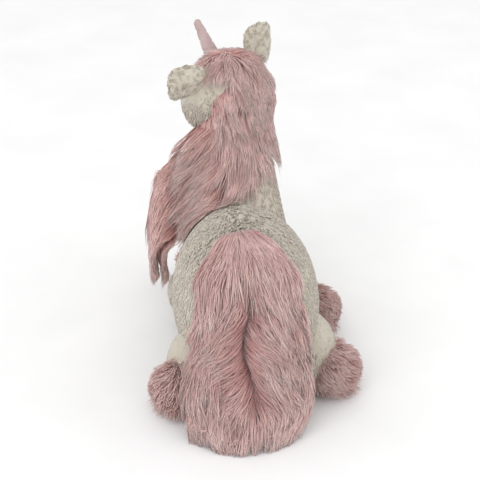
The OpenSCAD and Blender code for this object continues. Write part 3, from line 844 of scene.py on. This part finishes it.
def tail_share(p):
    """Positive under the tail: a broad strip down the back of the rump."""
    limit = 0.052 - 0.026 * ease((p[..., 2] - 0.16) / 0.08)
    back = p[..., 1] - (tail_root[1] - 0.01)
    return np.minimum(limit - np.abs(p[..., 0] - tail_root[0]), back)


# %% [markdown]
# Each skin goes on its body, and the solid parts that it stands for are hidden. The neck's skin is
# the exception: it goes on no body, and its transform is applied.

# %% Skins on their bodies


def put(obj, body, slot, *replaced, fill=None):
    """A piece on its body; the solid parts that it stands for are hidden, and the slot is not used."""
    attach(obj, body)
    if replaced:
        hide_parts(*replaced)
    return obj


torso_skin = skin("torso_skin", torso_points)
paint(torso_skin, ease(tail_share(points_of(torso_skin)) / 0.01))
neck_skin = skin("neck_skin", neck_points)
paint(neck_skin, ease(neck_share(points_of(neck_skin)) / 0.01))
head_skin = skin("head_skin", head_points)
paint(head_skin, ease(head_share(points_of(head_skin)) / 0.006))
for obj in (torso_skin, neck_skin, head_skin):
    obj.data.materials.append(cream_plush)
put(torso_skin, "torso", "cream_plush", "torso_left_panel", "torso_right_panel",
    "belly_panel", "torso_stuffing", fill=0.8)
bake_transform(neck_skin)
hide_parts("neck_left_panel", "neck_right_panel", "neck_stuffing")
put(head_skin, "head", "cream_plush", "head_left_panel", "head_right_panel",
    "head_gusset", "head_stuffing", fill=0.9)

# %% [markdown]
# The short pile leaves out the places where long pile grows, where parts meet, and the end
# of the nose, which is trimmed close.

# %% Short pile on torso, neck and head
nose_tip = head_middle + nose_dir * 0.117


def bare_of_mane(p):
    """On the neck: outside of the long pile, the torso and the head."""
    return (neck_share(p) < 0.004) & (torso_field(p) > -0.004) & (head_field(p) > -0.002)


def furred_face(p):
    """On the head: outside of the long pile and the neck, and away from the nose."""
    from_nose = np.linalg.norm(p - nose_tip, axis=1)
    return (head_share(p) < 0.002) & (from_nose > 0.045) & (neck_field(p) > -0.004)


torso_fur = short_fur("torso_fur", torso_points, 17000, torso_field, lambda p: tail_share(p) < 0.004)
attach(torso_fur, "torso")
neck_fur = short_fur("neck_fur", neck_points, 7000, neck_field, bare_of_mane)
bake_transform(neck_fur)
head_fur = short_fur("head_fur", head_points, 9000, head_field, furred_face, 0.0065)
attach(head_fur, "head")

# %% [markdown]
# The legs have the same short pile. An ear is thin, so its pile is finer and stands up all
# over both faces, and no field has to keep it out of anything.

# %% Ears, horn and legs
EAR_PILE, EAR_LIFT, EAR_LOCK = 0.0028, 0.9, 0.0005


def no_field(p):
    """Zero everywhere."""
    return np.full(p.shape[:-1], 0.0)


def ear_flow(p):
    """A different way in each small patch."""
    return clumps(p, 0.006, 1.0)


for side in ("left", "right"):
    ear = skin(side + "_ear_skin", ear_points[side])
    paint(ear, np.zeros(len(ear.data.vertices)))
    ear.data.materials.append(cream_plush)
    put(ear, side + "_ear", "cream_plush", f"ear_{side}_back", f"ear_{side}_lining", fill=0.4)
    ear_fur = short_fur(side + "_ear_fur", ear_points[side], 7000, no_field, None, EAR_PILE,
                        ear_flow, EAR_LIFT, EAR_LOCK)
    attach(ear_fur, side + "_ear")
horn = skin("horn_skin", horn_points)
horn.data.materials.append(horn_satin)
put(horn, "horn", "horn_satin", "horn_cover", "horn_stuffing", fill=0.9)
for leg in LEGS:
    field, start = leg_field(leg)
    limb = skin(leg + "_leg_skin", leg_points[leg])
    paint(limb, np.zeros(len(limb.data.vertices)))
    limb.data.materials.append(cream_plush)
    put(limb, leg + "_leg", "cream_plush", leg + "_leg_cover", leg + "_leg_stuffing", fill=0.7)
    limb_fur = short_fur(leg + "_leg_fur", leg_points[leg], 3000, field,
                         lambda p: torso_field(p) > -0.004)
    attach(limb_fur, leg + "_leg")

# %% [markdown]
# Long pile on the head and the neck. It starts at the crown, is brushed down the nape and
# swings to the left shoulder. On the right its ends stand off from the neck.

# %% Mane on head and neck


def mane_flow(p):
    """Down along the neck, with a swing to the left that grows towards the shoulder."""
    turn, s = neck_turn(p)
    left = 0.55 * ease((0.20 - s) / 0.16) - 0.012 * np.clip(-turn, 0, 60) * (s > 0.13)
    side = np.array([1.0, 0, 0])
    back = 0.25 * ease((0.12 - s) / 0.1)
    return -neck_axis + left[..., None] * side + back[..., None] * spine_side + clumps(p, 0.016, 0.35)


def crown_flow(p):
    """From the crown down the nape, and forwards over the brow in front of it."""
    q = p - head_middle
    back, up, aside = q @ head_back, q[..., 2], q @ head_side
    ahead = ease((-back - 0.004) / 0.02)
    down = -UP * 0.9 + head_back * 0.35
    brow = -head_back * 1.0 - UP * 0.45
    out = head_side * (aside / 0.05)[..., None] * 0.15
    return down * (1 - ahead)[..., None] + brow * ahead[..., None] + out + clumps(p, 0.014, 0.4)


def long_fur(name, p, normal, flow, field, long, width, body, rise, lift=0.2, cling=0.5, loose=0.004):
    """Long locks that start just under a skin, on a body. rise is how far their tips stand
    off the field, and loose how much more than that they may."""
    lines = combed(p - normal * 0.001, normal, flow, long, lift, field, 5, cling, 0.001, rise, loose)
    obj = fur(name, wavy(lines, 0.0016), width * (0.75 + 0.5 * random.random(len(p))),
              np.clip(0.5 + 0.28 * random.normal(size=len(p)), 0, 1))
    obj.data.materials.append(rose_pile)
    return put(obj, body, "pink_pile")


def head_and_neck(p):
    return np.minimum(np.minimum(neck_field(p), head_field(p)), torso_field(p))


p, normal = scatter(head_points, 30000)
chosen = (head_share(p) > -0.001) & (neck_field(p) > -0.003)
p, normal = p[chosen][:6000], normal[chosen][:6000]
ahead = ease(-((p - head_middle) @ head_back) / 0.03)
long = (0.050 - 0.026 * ahead) * (0.7 + 0.5 * random.random(len(p)))
forelock = long_fur("forelock_fur", p, normal, crown_flow, head_and_neck, long, 0.0010, "head", 0.004)
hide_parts("forelock")

p, normal = scatter(neck_points, 24000)
turn, s = neck_turn(p)
chosen = (neck_share(p) > 0) & (head_field(p) > -0.006) & (torso_field(p) > -0.004)
p, normal = p[chosen][:6900], normal[chosen][:6900]
long = 0.062 * (0.65 + 0.6 * random.random(len(p)))
mane = long_fur("mane_fur", p, normal, mane_flow, head_and_neck, long, 0.0011, "neck", 0.004)
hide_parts("mane_crest")

# %% [markdown]
# A third growth falls from the neck's left side over the shoulder. It hides the seam where
# the hanging half of the mane is sewn on.

# %% Fall over the left shoulder


def fall_flow(p):
    """Down, out to the left and a little back."""
    return np.array([0.62, 0.10, -0.78]) + 0 * p + clumps(p, 0.016, 0.35)


p, normal = scatter(neck_points, 40000)
turn, s = neck_turn(p)
hem = 0.035 + 0.0006 * (turn - 18)
chosen = (turn > 18) & (turn < 96) & (s > hem) & (s < 0.19) & (torso_field(p) > -0.004)
p, normal = p[chosen][:4600], normal[chosen][:4600]
long = 0.060 * (0.65 + 0.6 * random.random(len(p)))
long_fur("neck_fall_fur", p, normal, fall_flow, head_and_neck, long, 0.0011, "neck", 0.016,
         lift=0.25, cling=0.45, loose=0.02)

# %% [markdown]
# The hanging half of the mane is a flap of backing with pile on it. The backing is a thin
# cushion between its seam along the neck and its free edge, and its pile is brushed from
# the neck towards the free edge and its tip.

# %% Mane flap
flap_low, flap_high = corners("mane_flap")
flap_foot = seam("mane_lift")
flap_line = np.array(joints["mane_lift"]["axis"], float)
flap_top = flap_foot + flap_line * 0.134
flap_tip = np.array([flap_high[0] - 0.020, flap_foot[1] - 0.034, flap_low[2] + 0.036])
flap_corner = flap_tip + np.array([-0.012, -0.050, 0.140])
FLAP_OUT = unit([0.84, 0.30, 0.45])
FLAP_TURN = 0.65
FLAP_BELLY, FLAP_RISE = np.array([0.008, 0, 0]), np.array([0.014, -0.006, -0.024])


def flap_surface(a, b):
    """a runs up the seam and b out to the free edge; between them it swells outwards."""
    a, b = a[..., None], b[..., None]
    root = flap_foot + (flap_top - flap_foot) * a
    share = a / FLAP_TURN
    low = flap_tip + (flap_corner - flap_tip) * share + FLAP_BELLY * np.sin(np.pi * share)
    high = flap_corner + (flap_top + FLAP_RISE - flap_corner) * ((a - FLAP_TURN) / (1 - FLAP_TURN))
    edge = np.where(a < FLAP_TURN, low, high)
    swell = 0.022 * (1 - 0.7 * a) * np.sin(np.pi * np.clip(b, 0, 1) ** 0.8)
    return root + (edge - root) * b + FLAP_OUT * swell


def flap_grid(rows=40, columns=64, thick=0.0035):
    """An oval section in b, closed round, carried along a."""
    a = np.linspace(0, 1, rows)[:, None]
    turn = 2 * np.pi * np.arange(columns)[None] / columns
    b = 0.5 - 0.5 * np.cos(turn) * np.where((a == 0) | (a == 1), 0, 1)
    off = thick * np.sin(turn) * np.where((a == 0) | (a == 1), 0, 1)
    return flap_surface(a + 0 * b, b) + off[..., None] * FLAP_OUT


flap_skin = skin("mane_flap_skin", flap_grid())
flap_skin.data.materials.append(rose_backing)
put(flap_skin, "mane", "pink_backing", "mane_flap", fill=0.3)


def flap_fur(name, count, face):
    """Locks that run along the flap's own surface, towards the edge and the tip."""
    a0, b0 = random.random(count) ** 0.9, random.random(count) ** 0.75
    long = 0.060 * (0.6 + 0.6 * random.random(count))
    t = np.linspace(0, 1, 5)[None]
    twist = clumps(np.stack([a0, b0, 0 * a0], -1) * 0.2, 0.012, 0.20)
    a = np.clip(a0[:, None] - (0.30 + twist[:, :1]) * t * (long / 0.06)[:, None], -0.05, 1)
    b = b0[:, None] + (0.42 + twist[:, 1:2]) * t * (long / 0.06)[:, None] * (1.15 - 0.75 * b0[:, None])
    loft = (0.005 + 0.006 * random.random(count))[:, None]
    height = face * (0.002 + loft * np.sin(np.pi * (0.1 + 0.62 * t)))
    lines = flap_surface(a, b) + height[..., None] * FLAP_OUT
    obj = fur(name, wavy(lines, 0.0018), 0.0012 * (0.75 + 0.5 * random.random(count)),
              np.clip(0.5 + 0.28 * random.normal(size=count), 0, 1))
    obj.data.materials.append(rose_pile)
    return put(obj, "mane", "pink_pile")


flap_fur("mane_flap_fur", 5200, 1)
flap_fur("mane_flap_inner_fur", 4600, -1)

# %% [markdown]
# The tail is a broad fan that follows the rump down and spreads on the floor behind it. Its
# surface is worked out from a point inside the rump: rays fan out from there, and where
# each one leaves the torso is a point of the fan. Below the rump it hangs to the floor.

# %% Tail surface
tail_box = corners("tail_pile")
tail_from = np.array([tail_root[0], 0.062, 0.118])
rump_back = torso_half * 0.85
TAIL_WIDE, TAIL_ROOT, HANG = 0.160, 0.084, 0.72
ROOT_UP, LOW_UP = 80.0, -6.0
TAIL_SAG = 0.018


def tail_half(v):
    """Half of the fan's width: it opens fast, widens slowly, and draws in at its end."""
    root = TAIL_ROOT / TAIL_WIDE
    w = np.where(v < 0.3, root + (1 - root) * np.sin(np.pi / 2 * np.clip(v, 0, 0.3) / 0.3),
                 1 + 0.16 * ease((v - 0.3) / 0.55))
    return TAIL_WIDE / 2 * np.where(v > 0.85, 1.16 - 0.24 * (v - 0.85) / 0.15, w)


def tail_on_rump(v, t, out):
    """Where a ray at this height and side leaves the torso, plus a distance out."""
    up = np.radians(ROOT_UP + (LOW_UP - ROOT_UP) * v / HANG)
    turn = np.arcsin(np.clip((tail_half(v) - 0.022) / torso_wide, 0, 0.92)) * t
    way = unit(np.stack([torso_wide * np.sin(turn), rump_back * np.cos(turn) * np.cos(up),
                         rump_r * np.cos(turn) * np.sin(up)], -1))
    low, high = np.zeros(way.shape[:-1]), np.full(way.shape[:-1], 0.4)
    for _ in range(18):
        half = (low + high) / 2
        inside = torso_field(tail_from + way * half[..., None]) < 0
        low, high = np.where(inside, half, low), np.where(inside, high, half)
    return tail_from + way * (low + out)[..., None]


def tail_surface(v, t, out):
    """v runs from root to end, t from right (-1) to left (1), out is above the rump."""
    v, t, out = np.broadcast_arrays(v, t, out)
    held = tail_on_rump(np.minimum(v, HANG), t, out)
    k = np.clip((v - HANG) / (1 - HANG), 0, 1.2)[..., None]
    end_y = tail_box[1][1] - 0.008 - 0.026 * t ** 2 + out * 0.3
    end = np.stack([tail_from[0] + t * tail_half(v), end_y, 0.003 + np.maximum(0, out - 0.003)], -1)
    hung = held + (end - held) * k
    k = k[..., 0]
    hung[..., 2] = hung[..., 2] - TAIL_SAG * np.clip(k * (1 - k), 0, 1) - 0.02 * np.maximum(0, k - 1)
    return np.where((v <= HANG)[..., None], held, hung)


# %% [markdown]
# The tail's backing is a sheet of knitted cloth. It is made as a thin closed slab, and points
# along its own middle lines are worked out.

# %% Tail backing
SHEET_END, SHEET_SIDE = 0.985, 0.97


def tail_sheet(rows=48, columns=40, thick=0.0012):
    """A flat oval section across the fan, carried from root to end."""
    v = np.linspace(0, SHEET_END, rows)[:, None]
    turn = 2 * np.pi * np.arange(columns)[None] / columns
    closed = np.where((v == 0) | (v == SHEET_END), 0, 1)
    return tail_surface(v, SHEET_SIDE * np.cos(turn) * closed, 0.005 + thick * np.sin(turn) * closed)


tail_cloth = skin("tail_cloth", tail_sheet())
tail_cloth.data.materials.append(rose_backing)
line = tail_surface(np.linspace(0, SHEET_END, 60), 0.0, 0.005)
rows, columns = np.linspace(0, SHEET_END, 60)[:, None], np.linspace(-SHEET_SIDE, SHEET_SIDE, 40)[None]
cells = tail_surface(rows, columns, 0.005)
put(tail_cloth, "tail", "pink_backing", "tail_backing")

# %% [markdown]
# The tail's pile parts along a line down the middle. Above the parting the fur lies smooth
# and fans out, and beside it each lock is brushed outwards and down, and the locks along the parting are
# darkened as painted shade. At the floor the ends are ragged.

# %% Tail pile


def tail_fur(name, count, v_range, t_range, width=0.0011):
    """Locks along the tail's surface; they rise off it and lie down again at the tip."""
    v0 = v_range[0] + (v_range[1] - v_range[0]) * random.random(count)
    t0 = t_range[0] + (t_range[1] - t_range[0]) * random.random(count)
    long = 0.070 * (0.6 + 0.6 * random.random(count))
    k = np.linspace(0, 1, 5)[None]
    twist = clumps(np.stack([v0 * 0.36, t0 * 0.09, 0 * t0], -1), 0.014, 1.0)
    parting = ease((v0 - 0.22) / 0.12) * ease((0.86 - v0) / 0.12)
    middle = 0.10 * np.sin(13 * v0 + 0.6)
    # Locks close to the parting are marked here so that their shade can be lowered: painted shade where
    # the pile parts.
    near = np.exp(-((t0 - middle) / 0.16) ** 2) * parting
    push = np.where(t0 >= middle, 1, -1) * (0.10 + 0.42 * parting * np.exp(-((t0 - middle) / 0.45) ** 2))
    top = 1 - ease(v0 / 0.22)
    dv = long / 0.36 * (1 - 0.35 * parting * np.exp(-(t0 / 0.3) ** 2) + 0.12 * twist[:, 0])
    dt = push * (1 + 0.6 * top) + 0.16 * twist[:, 1] + 0.05 * random.normal(size=count)
    v = np.minimum(v0[:, None] + dv[:, None] * k, 1.02 + 0.05 * twist[:, :1])
    t = t0[:, None] + dt[:, None] * (long / 0.07)[:, None] * k ** 1.2
    high = 0.007 + 0.012 * random.random(count) + 0.005 * twist[:, 2] * (1 - top)
    out = 0.005 + high[:, None] * np.sin(np.pi * (0.04 + 0.66 * k)) * (1 - 0.5 * top[:, None])
    lines = wavy(tail_surface(v, np.clip(t, -1.05, 1.18), out), 0.0022)
    # The shade drops by up to 0.55 near the parting, which is painted shade in the parting's gap.
    obj = fur(name, lines, width * (0.75 + 0.5 * random.random(count)),
              np.clip(0.6 + 0.28 * random.normal(size=count) + 0.1 * twist[:, 0] - 0.55 * near, 0, 1))
    obj.data.materials.append(rose_pile)
    return put(obj, "tail", "pink_pile")


tail_right = tail_fur("tail_fur_right", 6200, (0.0, 0.66), (-1.0, 0.02))
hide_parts("tail_pile")
tail_fur("tail_fur_left", 6200, (0.0, 0.66), (-0.02, 1.0))
tail_fur("tail_fur_end", 6600, (0.5, 0.94), (-1.0, 1.0))
tail_fur("tail_fur_fine", 6800, (0.0, 0.92), (-1.0, 1.0), 0.0006)

# %% [markdown]
# Each foot is a padded boot of backing under long pile that fans out from the ankle and
# lies down on the floor around it.

# %% Feet


def foot_grid(middle, way, rows=32, columns=40, half=(0.031, 0.037)):
    """An oval of revolution along the leg's direction, kept above the floor."""
    e1 = unit(np.cross(way, UP))
    e2 = np.cross(way, e1)
    a = np.pi * np.linspace(0, 1, rows)[:, None]
    b = 2 * np.pi * np.arange(columns)[None] / columns
    out = np.cos(b)[..., None] * e1 + np.sin(b)[..., None] * e2
    p = middle + (half[1] * np.cos(a))[..., None] * way + (half[0] * np.sin(a))[..., None] * out
    p[..., 2] = np.maximum(p[..., 2], FLOOR_GAP)
    return p


def foot_flow(middle, way):
    """Away from the ankle, outwards, and down to the floor."""
    level = unit(way * [1, 1, 0.15])

    def flow(p):
        away = unit((p - middle) * [1, 1, 0.2])
        return level * 0.9 + away * 0.7 - UP * 0.35 + clumps(p, 0.014, 0.4)

    return flow


for leg in LEGS:
    middle, start = feet[leg], seam(leg + "_leg_swing")
    way = unit(middle - start)
    grid = foot_grid(middle, way)
    boot = skin(leg + "_foot_skin", grid)
    boot.data.materials.append(rose_backing)
    put(boot, leg + "_leg", "pink_backing", leg + "_foot_cover", leg + "_foot_stuffing", fill=0.7)

    def foot_field(q, middle=middle):
        return np.minimum(np.linalg.norm(q - middle, axis=-1) - 0.034, q[..., 2] - 0.001)

    p, normal = scatter(grid, 4200)
    chosen = (p[:, 2] > 0.004) & (torso_field(p) > -0.01)
    p, normal = p[chosen][:2600], normal[chosen][:2600]
    long = 0.021 * (0.6 + 0.7 * random.random(len(p)))
    long_fur(leg + "_foot_fur", p, normal, foot_flow(middle, way), foot_field, long, 0.0012,
             leg + "_leg", 0.002, lift=0.25, cling=0.35, loose=0.008)

# %% [markdown]
# What is left of the solid parts: eyes, washers and stitches keep their shapes and only
# get their finishes.

# %% Finishes of the hard parts
finishes = {"eye_left": eye_gloss, "eye_right": eye_gloss}
for name, node in frame["nodes"].items():
    if node.hide_render:
        continue
    finish = finishes.get(name, washer_matt if "washer" in name else rose_thread)
    node.data.materials.clear()
    node.data.materials.append(finish)
    print(name, finish.name)

# %% [markdown]
# A pale floor, a wide soft light from above and behind the camera, a weaker one from the
# side, and a camera that looks down on the toy's back.

# %% Floor, light and camera


def area_light(name, place, aim, power, size):
    """A square light that faces a point."""
    light = bpy.data.lights.new(name, "AREA")
    light.energy, light.size = power, size
    obj = bpy.data.objects.new(name, light)
    bpy.context.scene.collection.objects.link(obj)
    obj.location = place
    obj.rotation_euler = (Vector(aim) - Vector(place)).to_track_quat("-Z", "Y").to_euler()
    return obj


span = np.linspace(-6, 6, 9)
floor_points = np.stack(np.meshgrid(span, span, [0.0]), -1).reshape(-1, 3)
cell = (np.arange(8)[:, None] * 9 + np.arange(8)[None]).reshape(-1, 1)
floor = mesh_object("floor", floor_points, (cell + [0, 1, 10, 9]).ravel(), np.arange(64) * 4, False)
paper = Finish("pale_paper", 0.9)
paper.colour(paper.ramp(paper.noise(6, 2), [(0.3, (0.90, 0.90, 0.90)), (0.7, (0.94, 0.94, 0.94))]))
floor.data.materials.append(paper.material)
world = bpy.data.worlds.new("studio")
world.use_nodes = True
world.node_tree.nodes["Background"].inputs["Color"].default_value = (1, 1, 1, 1)
world.node_tree.nodes["Background"].inputs["Strength"].default_value = 0.95
bpy.context.scene.world = world
bpy.context.scene.view_settings.view_transform = "Standard"
aim = np.array([0.0, -0.02, 0.16])
area_light("key", (1.5, 2.1, 2.5), aim, 34, 2.6)
area_light("fill", (-2.4, 0.9, 1.6), aim, 8, 2.0)
back = np.array([0.0905, 0.8613, 0.5])
camera = bpy.data.objects.new("camera", bpy.data.cameras.new("camera"))
bpy.context.scene.collection.objects.link(camera)
camera.location = Vector(aim + back * 1.9)
camera.rotation_euler = Vector(-back).to_track_quat("-Z", "Y").to_euler()
camera.data.lens, camera.data.sensor_width, camera.data.shift_y = 94.05, 36, 0.0208
bpy.context.scene.camera = camera
